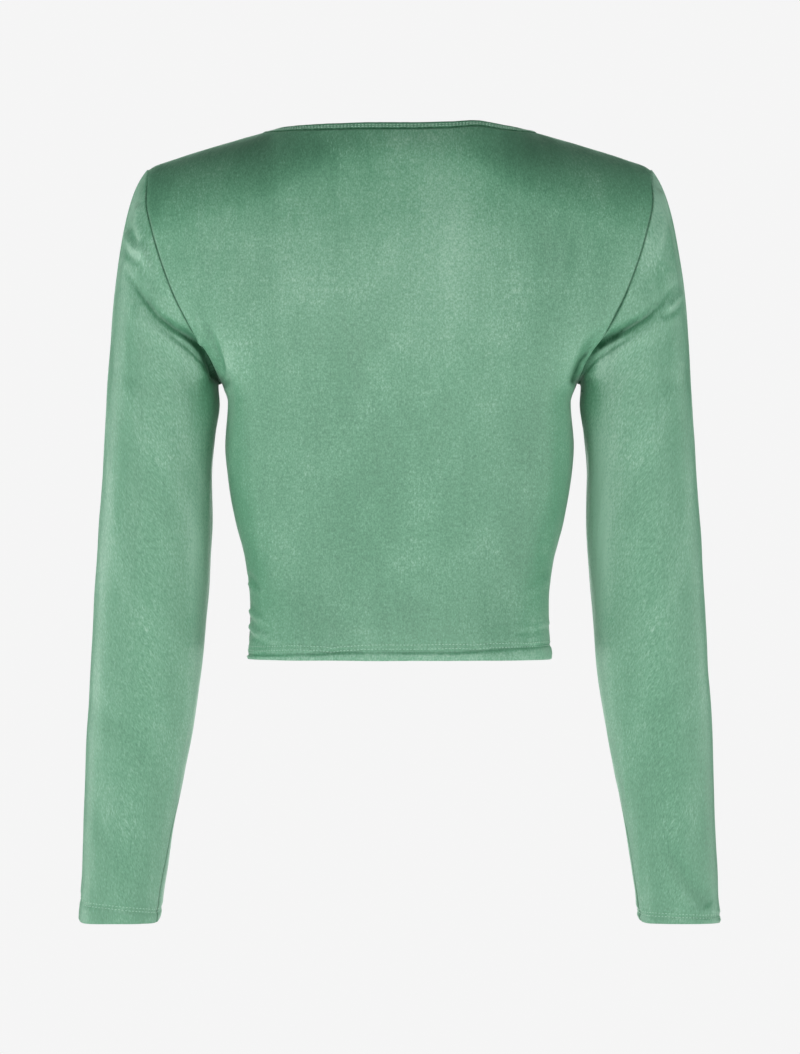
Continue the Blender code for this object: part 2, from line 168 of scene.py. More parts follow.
def ripples(u, v, seed, across, along, count=7):
    # an uneven field between about -1 and 1, with waves of about those lengths across and along
    draw = random.Random(seed)
    field = np.zeros(np.broadcast(u, v).shape)
    for _ in range(count):
        du = math.tau / (across * draw.uniform(0.6, 1.7)) * draw.choice((-1, 1))
        dv = math.tau / (along * draw.uniform(0.6, 1.7))
        field = field + np.sin(u * du + v * dv + draw.uniform(0, math.tau))
    return field / math.sqrt(count)


# small crinkles of the cloth: seed, wavelength across, wavelength along, height
crinkleRows = {
    "hem": ((21, 5.5, 60, 0.16), (31, 26, 90, 0.2)),
    "body": ((41, 34, 120, 0.22), (51, 9, 70, 0.07)),
    "sleeve": ((61, 40, 90, 0.3), (71, 10, 60, 0.08)),
    "cuff": ((81, 6, 60, 0.15),),
    "binding": ((91, 9, 50, 0.08),),
}


def crinkles(place, u, v, side=0):
    rows = crinkleRows[place]
    return sum(rise * ripples(u, v, seed + side, *waves) for seed, *waves, rise in rows)


def onBody(side, across, height):
    # the cloth's face: across is 0 at the centre line and 1 at the armhole and the side seam
    seamX = body["seamX"](height)
    x = across * seamX
    depth = body["backY" if side > 0 else "frontY"](height)
    roll = bodyCut["backRoll" if side > 0 else "frontRoll"]
    beside = np.abs(across) ** bodyCut["hollow"]
    girth = (seamX + body["overhang"](height)) * beside + body["softGirth"](height) * (1 - beside)
    share = ramp(np.abs(x) / girth)
    section = (1 - share ** bodyCut["squareness"]) ** (1 / bodyCut["squareness"])
    drop = ramp((shoulderHeight(np.abs(x)) - height) / roll)
    rolled = np.sqrt(1 - (1 - drop) ** 2)
    return np.stack(np.broadcast_arrays(x, side * depth * section * rolled, height), -1)


def topEdge(side):
    width, tip = bodyCut["neckHalfWidth"], bodyCut["shoulderTip"]
    t = np.linspace(0, 1, bodyCut["neckColumns"][side] + 1)
    x = width * (0.45 * t + 0.55 * np.sin(t * math.pi / 2))
    if side > 0:
        height = backNeckHeight(x)
    else:
        falls = (1 - (x / width) ** bodyCut["frontNeckFlat"]) ** bodyCut["frontNeckSteep"]
        height = neckCorner[1] - bodyCut["frontNeckDrop"] * falls
    shoulderX = tip - closeSteps(tip - width, 0.5, 1.25, bodyCut["shoulderStep"])[::-1][1:]
    x = np.concatenate([x, shoulderX])
    height = np.concatenate([height, shoulderHeight(shoulderX)])
    return x / body["seamX"](height), height


def armholeShares():
    tip = shoulderHeight(bodyCut["shoulderTip"])
    armpit = (tip - bodyCut["armpit"]) / (tip - bodyCut["hem"])
    return armpit * (1 - np.cos(np.linspace(0, math.pi, bodyCut["armholeRows"]))) / 2


def rowShares():
    reach = shoulderHeight(bodyCut["shoulderTip"]) - bodyCut["hem"]
    upper = armholeShares()
    hemStart = 1 - bodyCut["hemZone"] / reach
    lower = np.linspace(upper[-1], hemStart, bodyCut["lowerRows"])[1:]
    return np.concatenate([upper, lower, np.linspace(hemStart, 1, bodyCut["hemRows"])[1:]])


# painted shade in a fold's trough and painted highlight on its ridge, and the shares of its path in which it
# grows and dies away
foldLook = {"deep": 0.19, "high": 0.09, "loose": 0.4, "held": 0.06, "power": 0.8}

# folds along a path of x, height, x, height and so on, from the loose end to the held one: half (1 the
# wearer's left, -1 the right), rise, width above the path, width below it, path
sleeveBackFolds = (
    (1, -4.6, 4.4, 1.7, (
        213, -108, 202, -126, 187, -146, 175, -156, 162, -164, 154, -171, 146, -186, 142, -197,
    )),
    (1, -1.5, 2.6, 1.3, (182, -156, 170, -166, 159, -175, 151, -184, 145, -198)),
    (1, 2.2, 6, 8, (216, -124, 200, -145, 186, -160, 172, -170, 160, -182, 150, -197)),
    (1, 1.6, 4, 3, (189, -118, 197, -100, 202, -82, 203, -58)),
    (1, -1.5, 3, 3, (197, -92, 205, -84, 213, -72)),
    (1, 1.4, 3, 3, (196, -100, 206, -93, 216, -80)),
    (1, -1.2, 3, 3, (200, -108, 210, -98, 218, -92)),
    (1, -0.7, 9, 9, (234, -178, 216, -190, 196, -198, 176, -206)),
    (-1, -4.8, 4.4, 1.7, (
        216, -118, 201, -137, 191, -147, 176, -157, 160, -166, 149, -172, 141, -181, 135, -194,
    )),
    (-1, -1.5, 2.6, 1.3, (178, -162, 164, -171, 152, -179, 145, -188, 139, -198)),
    (-1, 2.4, 6, 8, (218, -130, 205, -147, 190, -160, 172, -171, 156, -183, 147, -196)),
    (-1, 1.8, 4, 4, (193, -106, 201, -86, 204, -66, 203, -46)),
    (-1, 1.6, 2.5, 2.5, (221, -124, 214, -134, 206, -140)),
    (-1, -1.4, 2.5, 2.5, (220, -132, 213, -141, 202, -148)),
    (-1, -0.7, 9, 9, (232, -186, 214, -196, 196, -204, 176, -210)),
    (1, -0.9, 7, 7, (248, -440, 232, -452, 212, -470, 196, -492)),
    (1, 0.9, 7, 7, (246, -462, 230, -478, 210, -500, 198, -520)),
    (1, -0.8, 6, 6, (248, -520, 236, -540, 222, -566, 212, -586)),
    (-1, -0.8, 7, 7, (246, -420, 230, -432, 208, -446, 190, -462)),
    (-1, 0.8, 8, 8, (246, -470, 228, -482, 208, -500, 194, -520)),
    (-1, -1.5, 6, 5, (206, -553, 214, -568, 224, -585, 236, -598, 243, -606)),
    (-1, 1.0, 6, 6, (200, -566, 208, -580, 219, -595, 228, -606)),
)
sleeveFrontFolds = (
    (1, -3.2, 8, 5, (213, -112, 196, -134, 182, -152, 166, -165, 148, -182)),
    (1, 2.0, 6, 8, (216, -126, 200, -146, 184, -164, 166, -178, 150, -192)),
    (-1, -3.0, 8, 5, (214, -110, 198, -132, 184, -150, 166, -163, 148, -180)),
    (-1, 1.8, 6, 8, (216, -126, 200, -146, 184, -163, 166, -176, 150, -190)),
    (1, -2.4, 10, 10, (236, -352, 214, -346, 190, -334, 166, -326)),
    (1, 2.0, 10, 10, (236, -334, 214, -328, 190, -316, 166, -308)),
    (-1, -2.2, 9, 11, (236, -346, 212, -341, 190, -330, 164, -320)),
    (-1, 1.9, 10, 10, (236, -328, 212, -324, 190, -313, 166, -304)),
    (1, -1.4, 8, 8, (240, -392, 218, -386, 196, -376, 178, -372)),
    (-1, -1.5, 8, 8, (240, -384, 216, -380, 196, -371, 176, -366)),
)
backFolds = (
    (1, 1.8, 2.0, 2.0, (153.4, -139, 153.2, -152, 152.4, -169)),
    (1, -3.0, 3.5, 3, (149, -150, 143, -165, 138, -178, 135, -190, 134, -202)),
    (1, 0.9, 7, 7, (140, -150, 134, -166, 129, -184, 127, -200)),
    (1, 1.8, 2.0, 2.0, (140.4, -167, 133.5, -180, 132, -185, 134.6, -197)),
    (-1, -2.6, 4, 3, (152, -160, 144, -174, 138, -186, 134, -200)),
    (-1, 1.0, 4, 4, (146, -160, 138, -172, 131, -188, 128, -202)),
    (1, -1.1, 2, 1.8, (106, -358, 112, -353, 117, -345)),
    (1, 1.0, 2, 1.8, (103, -364, 111, -359, 117, -352)),
    (1, -1.0, 2, 1.8, (104, -378, 112, -374, 117, -367)),
    (1, 1.2, 2, 1.8, (102, -383, 111, -379, 117, -373)),
    (1, -1.2, 1.8, 1.8, (101, -390, 111, -386, 118, -379)),
    (1, 1.3, 1.8, 1.8, (100, -395, 110, -391, 118, -385)),
    (1, -1.3, 1.6, 1.6, (102, -399, 112, -396, 118, -390)),
    (-1, -0.6, 3, 3, (98, -355, 108, -349, 116, -341)),
    (-1, 0.6, 3, 3, (96, -362, 107, -357, 116, -349)),
    (-1, -0.7, 2, 2, (84, -391, 104, -390, 118, -387)),
    (-1, 0.6, 2, 2, (80, -387, 102, -386, 118, -383)),
)
frontFolds = (
    (1, -2.4, 7, 6, (146, -160, 136, -176, 126, -190, 116, -200)),
    (-1, -2.2, 7, 6, (147, -158, 137, -174, 127, -188, 118, -197)),
)

# painted shade lines along the back's creases where the cloth closes on itself, darkest at the armpits:
# half, half width at the loose end and at the held end, path
sleeveCreaseShade = (
    (1, 0.6, 4.2, (
        176.9, -154.4, 167.6, -161.4, 158.4, -168.4, 152.2, -175.4, 147.6, -184.8, 143, -192.6,
        139.1, -198.8,
    )),
    (1, 0.5, 1.3, (156.8, -166.9, 150.7, -173.9, 144.5, -184.8, 139.9, -195.7)),
    (-1, 0.9, 3.6, (
        185.3, -148.9, 176.1, -155.2, 168.4, -161.4, 159.2, -166.9, 150.7, -172.3, 143.8, -177.8,
        138.3, -184, 135.3, -192.6,
    )),
    (-1, 0.4, 0.9, (143.7, -205, 141.4, -202, 139.1, -198.8)),
)
backCreaseShade = (
    (-1, 0.5, 2.0, (148, -168, 144.2, -175, 138.9, -181.1, 135.8, -188.8, 133.8, -196.5)),
)

# broad soft swells of the back: x, height, half width, half height, rise
swellRows = (
    (92, -122, 34, 62, 1.7), (-42, -110, 34, 74, 1.7),
    (22, -120, 22, 80, -1.1), (-118, -130, 26, 60, -0.9),
    (60, -270, 46, 60, 0.9), (-58, -285, 40, 60, 0.7),
    (4, -300, 26, 90, -0.8),
)


# painted light and shade in soft patches, as seen from behind: the paler patches are painted sheen and light,
# the darker ones painted shade, as on the shoulders and in the armpits:
# x (towards the wearer's left), height, half width, half height, amount
bodyPaintedLight = (
    (78, -20, 50, 22, -0.36), (78, -38, 30, 16, -0.3), (130, -14, 46, 12, -0.35),
    (-92, -16, 34, 24, -0.5), (188, -44, 18, 24, -0.7), (-186, -46, 13, 22, -0.4),
    (-34, -44, 22, 44, 0.34), (-52, -84, 24, 44, 0.2), (-26, -110, 26, 90, 0.16),
    (40, -180, 30, 110, -0.12), (-118, -98, 22, 44, -0.36), (26, -262, 38, 112, -0.1),
    (30, -374, 54, 18, -0.22), (108, -250, 10, 80, -0.15), (-100, -290, 20, 90, -0.24),
    (0, -115, 100, 50, 0.2), (0, -300, 120, 80, -0.13), (-20, -9, 34, 12, 0.25),
    (131, -214, 6, 36, 0.5), (135, -190, 4, 14, 0.4), (147, -160, 4, 12, -0.3),
    (-132, -220, 8, 60, 0.35), (108, -390, 20, 20, 0.35), (-114, -384, 16, 36, 0.5),
)
# the sleeves' painted light and shade, on their backs
sleevePaintedLight = (
    (-155, -300, 11, 110, 1.2), (156, -320, 11, 100, 0.9), (229, -280, 10, 96, 0.26),
    (-200, -52, 10, 28, 0.9), (-192, -92, 8, 24, 0.35), (-215, -510, 36, 60, -0.18),
    (178, -146, 18, 12, 0.25), (168, -112, 10, 22, 0.35), (160, -161, 9, 7, -0.5),
    (151, -172, 7, 9, -0.8), (149, -198, 8, 16, -0.7), (-149, -200, 7, 20, -0.6),
    (146, -184, 6, 10, -0.9), (142, -197, 5, 9, -0.9), (-150, -166, 7, 7, -0.5),
    (-145, -176, 6, 9, -0.8), (-139, -188, 6, 10, -0.9), (-137, -200, 5, 9, -0.8),
    (-216, -120, 8, 12, 0.3), (204, -62, 10, 16, 0.45), (212, -110, 14, 30, 0.3),
    (236, -330, 8, 70, 0.3), (-244, -540, 8, 60, -0.25), (-226, -170, 8, 60, -0.25),
)


def paintedLightAt(rows, points):
    # sums the patches of painted light and shade at each point
    x, height = points[..., 0], points[..., 2]
    paintedLight = np.zeros(x.shape)
    for at, level, wide, tall, amount in rows:
        paintedLight += amount * bell(x - at, wide) * bell(height - level, tall)
    return paintedLight


def nearPath(points, half, path):
    # each point's distance from the path, the place along it from 0 to 1, and the side it lies on
    x, height = points[..., 0], points[..., 2]
    nearest = np.full(x.shape, np.inf)
    along = np.zeros(x.shape)
    offSide = np.zeros(x.shape)
    corners = np.reshape(path, (-1, 2))
    for i, (start, end) in enumerate(zip(corners, corners[1:])):
        run = np.subtract(end, start)
        dx, dz = x * half - start[0], height - start[1]
        t = ramp((dx * run[0] + dz * run[1]) / (run @ run))
        away = np.hypot(dx - t * run[0], dz - t * run[1])
        closer = away < nearest
        along = np.where(closer, (i + t) / (len(corners) - 1), along)
        offSide = np.where(closer, dx * run[1] - dz * run[0], offSide)
        nearest = np.minimum(nearest, away)
    return nearest, along, offSide


def creaseShadeDistance(rows, points):
    # distance from a painted crease shade line, in the same measure as the distance from a seam, so that the
    # crease is painted dark like a seam
    least = np.full(points.shape[:-1], 99.0)
    for half, loose, held, path in rows:
        away, along, _ = nearPath(points, half, path)
        width = loose + (held - loose) * ramp(along / 0.75)
        least = np.minimum(least, away * seamLook["mark"] / width + 1.2 * (1 - ramp(along / 0.3)))
    return least


def foldRise(rows, points):
    total = np.zeros(points.shape[:-1])
    for half, rise, above, below, path in rows:
        nearest, along, offSide = nearPath(points, half, path)
        grown = ramp(along / foldLook["loose"]) ** foldLook["power"]
        width = np.where(offSide * (1 if path[0] > path[-2] else -1) > 0, above, below)
        total += rise * bell(nearest, width) * (grown * ramp((1 - along) / foldLook["held"]))
    return total


def foldPaintedShade(rise):
    # painted shade in the troughs and painted highlight on the ridges
    return np.where(rise < 0, rise * foldLook["deep"], rise * foldLook["high"])


seamLook = {
    # a seam's dark line is painted shade in its groove, and the same mark paints shade along the creases
    "mark": 0.8,  # half width of a seam's dark line
    "groove": 1.3,
    "puff": 8,  # how far the swelling beside it reaches
    "sideDepth": 0.75, "shoulderDepth": 0.3, "neckDepth": 0.5, "underarmDepth": 0.55,
    # height, half height, amount
    "armpit": (-172, 26, 1.1), "gape": (-144, 17, 0.5),
    "tipFall": 16,  # how far below the shoulder's tip the groove deepens
    "tipFade": (11, 2.2),  # how far from the tip the seam's line fades, and how much
}


def seamPuff(distance, height):
    # the cloth swells a little beside a seam, so that the seam lies in a groove
    return height * (1 - bell(distance, seamLook["groove"])) * np.exp(-distance / seamLook["puff"])


def grooveDepth(height):
    # the armhole seam's groove: shallow at the shoulder's tip, deepest at the armpit
    tip = shoulderHeight(bodyCut["shoulderTip"])
    level, tall, deeper = seamLook["armpit"]
    deepening = seamLook["sideDepth"] + deeper * bell(height - level, tall)
    return np.clip((tip - height) / seamLook["tipFall"], 0.1, 1) * deepening


def seamDistance(distance, x, height):
    # the armhole seam's painted shade line fades out of sight over the shoulder's tip and is painted wider on
    # the right, as shade where the seam gapes, as in the photo
    level, tall, wider = seamLook["gape"]
    reach, fade = seamLook["tipFade"]
    gape = np.where(x < 0, wider * bell(height - level, tall), 0)
    return distance * (1 - gape) + fade * bell(height - shoulderHeight(bodyCut["shoulderTip"]), reach)


# gathers of the front, from the casing towards each side seam: height, fall, rise
gatherRows = (
    (-150, 34, 2.0), (-178, 26, 2.3),
    (-206, 18, 2.5), (-234, 10, 2.6),
    (-262, 3, 2.6), (-290, -3, 2.5),
    (-318, -8, 2.4), (-346, -10, 2.2),
    (-374, -9, 1.8),
)
gatherLook = {
    "width": 7, "reach": 92, "casingHalf": 12, "sink": 0.6,
    "small": 26, "lowest": -388, "highest": -142,  # fine gathers drawn at random between those heights
    "seed": 5,
}


def gatherRise(points):
    x, height = points[..., 0], points[..., 2]
    aside = np.abs(x)
    draw = random.Random(gatherLook["seed"])
    reach, lowest, highest = gatherLook["reach"], gatherLook["lowest"], gatherLook["highest"]
    total = np.zeros(x.shape)
    for half in (1, -1):
        there = x * half > 0
        rows = []
        for at, fall, rise in gatherRows:
            width, far = gatherLook["width"] * draw.uniform(0.75, 1.15), reach * draw.uniform(0.5, 1.1)
            rows.append((at + draw.uniform(-9, 9), fall, rise * draw.uniform(0.55, 1.1), width, far))
        for _ in range(gatherLook["small"]):
            at = draw.uniform(lowest, highest)
            fall = np.interp(at, (lowest, -262, highest), (-10, 3, 36)) + draw.uniform(-5, 5)
            rows.append((at, fall, draw.uniform(0.5, 1.3), draw.uniform(2.6, 4.4), draw.uniform(30, 70)))
        for at, fall, rise, width, far in rows:
            bend = 5 * np.sin(aside / reach * math.pi * draw.uniform(0.7, 1.3)) * draw.uniform(-1, 1)
            middle = at + draw.uniform(-2, 2) - fall * aside / reach + bend
            fade = ramp(1 - aside / far) ** 0.8
            total += np.where(there, rise * bell(height - middle, width) * fade, 0)
    beside = ramp((aside - gatherLook["casingHalf"]) / 6)
    aboveHem = ramp((height - bodyCut["hem"] - bodyCut["hemTurn"]) / 12)
    return (total - gatherLook["sink"]) * beside * aboveHem * ramp((1 - aside / reach) * 4)


# turned edges: distance from the edge, rise of the cloth
hemProfile = {
    "hem": (
        (0, -0.2), (2.4, 0.8), (4.8, 0.7), (6.4, -0.9), (8, 0.1), (10, 0.35),
        (12.5, 0.1), (15.5, 0.4), (19, 0.35), (26, 0), (60, 0),
    ),
    "cuffLeft": (
        (0, -0.2), (3, 0.35), (8, 0.45), (10.6, -0.35), (13.2, -0.3),
        (16, 0.45), (21, 0.25), (30, 0), (60, 0),
    ),
    "cuffRight": ((0, -0.3), (2.4, 0.5), (4.4, -0.4), (7, -0.45), (9, 0.55), (13, 0.35), (22, 0), (60, 0)),
}
hemLook = {
    # the fold's dark line is painted shade along the hem's sharp fold, and the pale edge a painted highlight
    # on the turned edge below it
    "fold": 6.4, "top": 15.5, "hemFoldShade": 0.8, "foldWidth": 0.9, "hemEdgeHighlight": 0.3, "edge": 5,
    "bandMiddle": 12, "bandWidth": 6,  # where the stitching crinkles it
}


def hemLine(x):
    # how far above its edge the hem is folded sharply, in the photo: more towards the wearer's right
    return np.interp(x, (-117, -43, 45, 74, 117), (11, 6.2, 6.4, 3.8, 2.8))


def turnUnder(points, normals, depth):
    # carries the cloth round its edge and up again on the inside
    fold = bodyCut["foldRadius"]
    fromEdge = lengthsAlong(points[::-1], 0)[::-1]
    down = unit(points[-1] - points[-3])
    rows = []
    for angle in np.linspace(0, math.pi, bodyCut["foldSteps"])[1:]:
        rows.append(points[-1] + fold * (math.sin(angle) * down - (1 - math.cos(angle)) * normals[-1]))
    inside = points - 2 * fold * normals
    for row in range(len(points) - 2, 0, -1):
        if fromEdge[row].mean() > depth:
            break
        rows.append(inside[row])
    return np.concatenate([points, rows])


def panelPoints(side):
    # outer face of a whole panel, its normals out of it, and how far each point is from a seam
    across, start = topEdge(side)
    across = np.concatenate([-across[:0:-1], across])
    start = np.concatenate([start[:0:-1], start])
    height = start + (bodyCut["hem"] - start) * rowShares()[:, None]
    points = onBody(side, across[None, :], height)
    along = lengthsAlong(points, 1)
    fromSide = np.minimum(along, along[:, -1:] - along)
    fromTop = lengthsAlong(points, 0)
    fromHem = fromTop[-1:] - fromTop
    onShoulder = np.abs(points[:1, :, 0]) >= bodyCut["neckHalfWidth"] - 0.01
    seam = np.minimum(fromSide, fromTop)
    u, v = along - along[:, along.shape[1] // 2][:, None], points[..., 2]

    topDepth = np.where(onShoulder, seamLook["shoulderDepth"], seamLook["neckDepth"])
    rise = seamPuff(fromSide, grooveDepth(points[..., 2])) + seamPuff(fromTop, topDepth)
    folds = foldRise(backFolds if side > 0 else frontFolds, points) * ramp(fromSide / 1.6)
    # painted shade and highlight along the folds, and on the back the patches of painted light and shade
    paintedLight = foldPaintedShade(folds) + (paintedLightAt(bodyPaintedLight, points) if side > 0 else 0)
    rise += folds
    line, turn = hemLine(points[-1, :, 0]), bodyCut["hemTurn"]
    fold, top = hemLook["fold"], hemLook["top"]
    aboveLine = (fromHem - line) / (turn - line) * (top - fold)
    level = np.where(fromHem < line, fromHem / line * fold, fold + aboveLine)
    level = np.where(fromHem < turn, level, fromHem + top - turn)
    rise += np.interp(level, *zip(*hemProfile["hem"])) * (1 + 0.3 * ripples(u, v, 11 + side, 70, 400))
    # painted shade along the hem's fold line, and a painted highlight on the turned edge below it
    paintedLight = paintedLight - hemLook["hemFoldShade"] * bell(level - fold, hemLook["foldWidth"])
    paintedLight = paintedLight + hemLook["hemEdgeHighlight"] * (fromHem < turn) * (level < hemLook["edge"])
    rise += bell(fromHem - hemLook["bandMiddle"], hemLook["bandWidth"]) * crinkles("hem", u, v, side)
    calm = ramp(fromSide / 14) * ramp(fromTop / 12)
    rise += calm * crinkles("body", u, v, side)
    if side > 0:
        for x, z, width, tall, swell in swellRows:
            rise += swell * bell(points[..., 0] - x, width) * bell(points[..., 2] - z, tall) * calm
    else:
        gathers = gatherRise(points)
        rise += gathers
        # painted shade and highlight along the front's gathers
        paintedLight = paintedLight + gathers * 0.1
    normals = normalsOf(points) * -side
    points = points + normals * rise[..., None]
    if side > 0:
        fade = bell(fromTop, neckLifts["fade"])
        for x, width, lift in neckLifts["rows"]:
            points[..., 2] += lift * bell(points[..., 0] - x, width) * fade
    seam = seamDistance(seam, points[..., 0], points[..., 2])
    if side > 0:
        # painted shade along the back's creases, marked like a seam
        seam = np.minimum(seam, creaseShadeDistance(backCreaseShade, points))
    return points, normalsOf(points) * -side, np.stack([seam, paintedLight], -1), np.stack([u, v], -1) * mm


def armhole():
    tip = shoulderHeight(bodyCut["shoulderTip"])
    height = tip + (bodyCut["hem"] - tip) * armholeShares()

    def around(across):
        return np.concatenate([onBody(1, across, height), onBody(-1, across, height)[-2::-1]])

    loop, inside = around(1.0), around(bodyCut["inset"])
    for end in (0, -1, bodyCut["armholeRows"] - 1):
        inside[end, 1] = loop[end, 1] = 0
    line = np.roll(loop[:-1], -1, axis=0) - np.roll(loop[:-1], 1, axis=0)
    line = unit(looped(line))
    away = loop - inside
    return loop, unit(away - (away * line).sum(1, keepdims=True) * line)


def sleeveRing(turns, height):
    # turn 0 is the outside, a quarter the back and a half the inside
    inner, outer = arm["innerX"](height), arm["outerX"](height)
    power = 2 / sleeveCut["squareness"]
    cos, sin = np.cos(turns * math.tau), np.sin(turns * math.tau)
    x = (inner + outer) / 2 + (outer - inner) / 2 * np.sign(cos) * np.abs(cos) ** power
    y = arm["middleY"](height) + arm["depth"](height) / 2 * np.sign(sin) * np.abs(sin) ** power
    return np.stack([x, y, np.full(len(x), float(height))], -1)


def sleevePoints(half):
    cut = sleeveCut
    seam, outward = armhole()
    lengths = np.linalg.norm(np.diff(seam, axis=0), axis=1)
    turns = np.concatenate([[0], np.cumsum(lengths)]) / lengths.sum()
    rows = [seam] + [seam + outward * step for step in cut["seamSteps"]]
    second = rows[-1]
    top = np.cos(turns * math.tau)[:, None]
    upper, lower = ramp(top) ** 0.7 * 0.78, ramp(-top) ** 1.5
    way = unit(outward + (cut["capFall"] - outward) * upper + (cut["capAside"] - outward) * lower)
    biceps, cuff = cut["biceps"], cut["cuff"]
    ring = sleeveRing(turns, biceps)
    reach = np.linalg.norm(ring - second, axis=1, keepdims=True)
    leave = way * reach * cut["leave"]
    arrive = unit(sleeveRing(turns, biceps - 1.4) - ring) * reach * cut["arrive"]
    for t in closeSteps(1, 0.008, 1.12, 1 / cut["capRows"])[1:-1]:
        end = 3 * t**2 - 2 * t**3
        rows.append((1 - end) * second + end * ring + (t**3 - 2 * t**2 + t) * leave + (t**3 - t**2) * arrive)
    zone = cut["cuffZone"]
    for height in np.linspace(biceps, cuff + zone, cut["armRows"]):
        rows.append(sleeveRing(turns, height))
    across = np.cos(turns * math.tau)
    corner = np.abs(across) ** cut["cornerSharpness"] * cut["cornerLift"]
    corner = corner * np.where(across > 0, max(half, 0), 1)
    for height in np.linspace(cuff + zone, cuff, cut["cuffRows"])[1:]:
        ring = sleeveRing(turns, height)
        ring[:, 2] += corner * ((cuff + zone - height) / zone) ** 2
        rows.append(ring)
    points = np.array(rows)

    fromSeam = lengthsAlong(points, 0)
    fromCuff = fromSeam[-1:] - fromSeam
    girth = lengthsAlong(points, 1)[:, -1:]
    u, v = turns[None, :] * cut["flatGirth"] + 0 * fromSeam, -fromSeam
    back = points[..., 1] > arm["middleY"](points[..., 2])
    signed = points * (half, 1, 1)
    rise = np.where(back, foldRise(sleeveBackFolds, signed), foldRise(sleeveFrontFolds, signed))
    # the folds die away at the outside line and at the seam, and flatten at the underarm
    edge = np.minimum(turns, 1 - turns)[None, :]
    rise *= ramp(edge / 0.04) * np.clip((0.5 - edge) / 0.02, 0.35, 1) * ramp(fromSeam / 3)
    # painted shade and highlight along the folds, and on the backs the patches of painted light and shade
    paintedLight = foldPaintedShade(rise) + np.where(back, paintedLightAt(sleevePaintedLight, signed), 0)
    rise += seamPuff(fromSeam, grooveDepth(points[:1, :, 2]))
    shows = ramp((-points[..., 2] - cut["seamShowsFrom"]) / cut["seamShowsOver"])
    underarm = 0.5 - cut["seamTurn"][half] * shows
    fromUnderarm = np.abs(turns[None, :] - underarm) * girth
    rise += seamPuff(fromUnderarm, seamLook["underarmDepth"]) * ramp(fromSeam / 20)
    wave = np.sin(turns * math.tau)[None, :] * 40
    rise += ramp(fromSeam / 18) * crinkles("sleeve", wave, v, half)
    slope = 4 * np.cos(turns * math.tau)[None, :] * (-1 if half > 0 else 0.4)
    profile = hemProfile["cuffLeft" if half > 0 else "cuffRight"]
    rise += np.interp(np.clip(fromCuff + slope * ramp(fromCuff / 10), 0, 60), *zip(*profile))
    rise += bell(fromCuff - cut["bandMiddle"], hemLook["bandWidth"]) * crinkles("cuff", u, v, half)
    points = points + normalsOf(points) * rise[..., None]
    normals = normalsOf(points)
    normals[:, [0, -1]] = unit(normals[:, :1] + normals[:, -1:])
    points[:, -1] = points[:, 0]
    fromSeam = seamDistance(fromSeam, points[:1, :, 0] * half, points[:1, :, 2])
    # painted shade along the creases on the sleeves' backs, marked like a seam
    creases = np.where(back, creaseShadeDistance(sleeveCreaseShade, signed), 99)
    marks = np.stack([np.minimum(np.minimum(fromSeam, fromUnderarm), creases), paintedLight], -1)
    return points, normals, marks, np.stack([u, v], -1) * mm


def toMesh(name, shape):
    mesh = bpy.data.meshes.new(name)
    shape.to_mesh(mesh)
    shape.free()
    return mesh


def addObject(name, data):
    thing = bpy.data.objects.new(name, data)
    bpy.context.scene.collection.objects.link(thing)
    return thing


def addPiece(name, shape):
    piece = addObject(name, toMesh(name, shape))
    piece.data.shade_smooth()
    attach(piece, "root")
    return piece


def layGrid(name, points, uvs, marks, closed=False, cloth=None):
    # a grid of cloth laid through the points; marks are each point's distance from a seam, which sets the
    # painted shade along seams and creases, and its painted light and shade
    rows, columns = points.shape[:2]
    sheet = bmesh.new()
    bmesh.ops.create_grid(sheet, x_segments=columns - 1, y_segments=rows - 1, size=1)
    uvLayer = sheet.loops.layers.uv.new("cloth")
    # attributes that carry the painted shade along seams and creases, and the painted light and shade
    seamShadeLayer = sheet.verts.layers.float.new("seam")
    paintedLightLayer = sheet.verts.layers.float.new("paintedLight")
    places = []
    for vertex in sheet.verts:
        column = round((vertex.co.x + 1) / 2 * (columns - 1))
        row = round((1 - vertex.co.y) / 2 * (rows - 1))
        places.append((row, column))
        vertex.co = points[row, column] * mm
        vertex[seamShadeLayer] = bell(marks[row, column, 0], seamLook["mark"])
        vertex[paintedLightLayer] = marks[row, column, 1]
    for face in sheet.faces:
        for corner in face.loops:
            corner[uvLayer].uv = uvs[places[corner.vert.index]]
    if closed:
        bmesh.ops.remove_doubles(sheet, verts=sheet.verts[:], dist=1e-6)
    piece = addPiece(name, sheet)
    if cloth:
        wall = piece.modifiers.new("wall", "SOLIDIFY")
        wall.thickness = cloth * mm
        wall.offset = -1
        wall.use_rim = True
    return piece


def makeCloth(name, part, depth, closed=False, mirror=None):
    # a panel or sleeve with its edge turned under by that depth
    points, normals, marks, uvs = part
    turned = turnUnder(points, normals, depth)
    size, extra = len(points), len(turned) - len(points)
    moreMarks = np.repeat(marks[-1:] * (0, 1) + (99, 0), extra, 0)
    run = lengthsAlong(turned, 0)
    run = run[size:] - run[size - 1]
    moreUvs = np.stack([np.repeat(uvs[-1:, :, 0], extra, 0), uvs[-1:, :, 1] - run * mm], -1)
    marks, uvs = np.concatenate([marks, moreMarks]), np.concatenate([uvs, moreUvs])
    if mirror:
        turned, marks, uvs = turned[:, ::-1] * mirror, marks[:, ::-1], uvs[:, ::-1]
    return layGrid(name, turned, uvs, marks, closed, bodyCut["cloth"])


panels = {side: panelPoints(side) for side in (1, -1)}
sleeves = {half: sleevePoints(half) for half in (1, -1)}

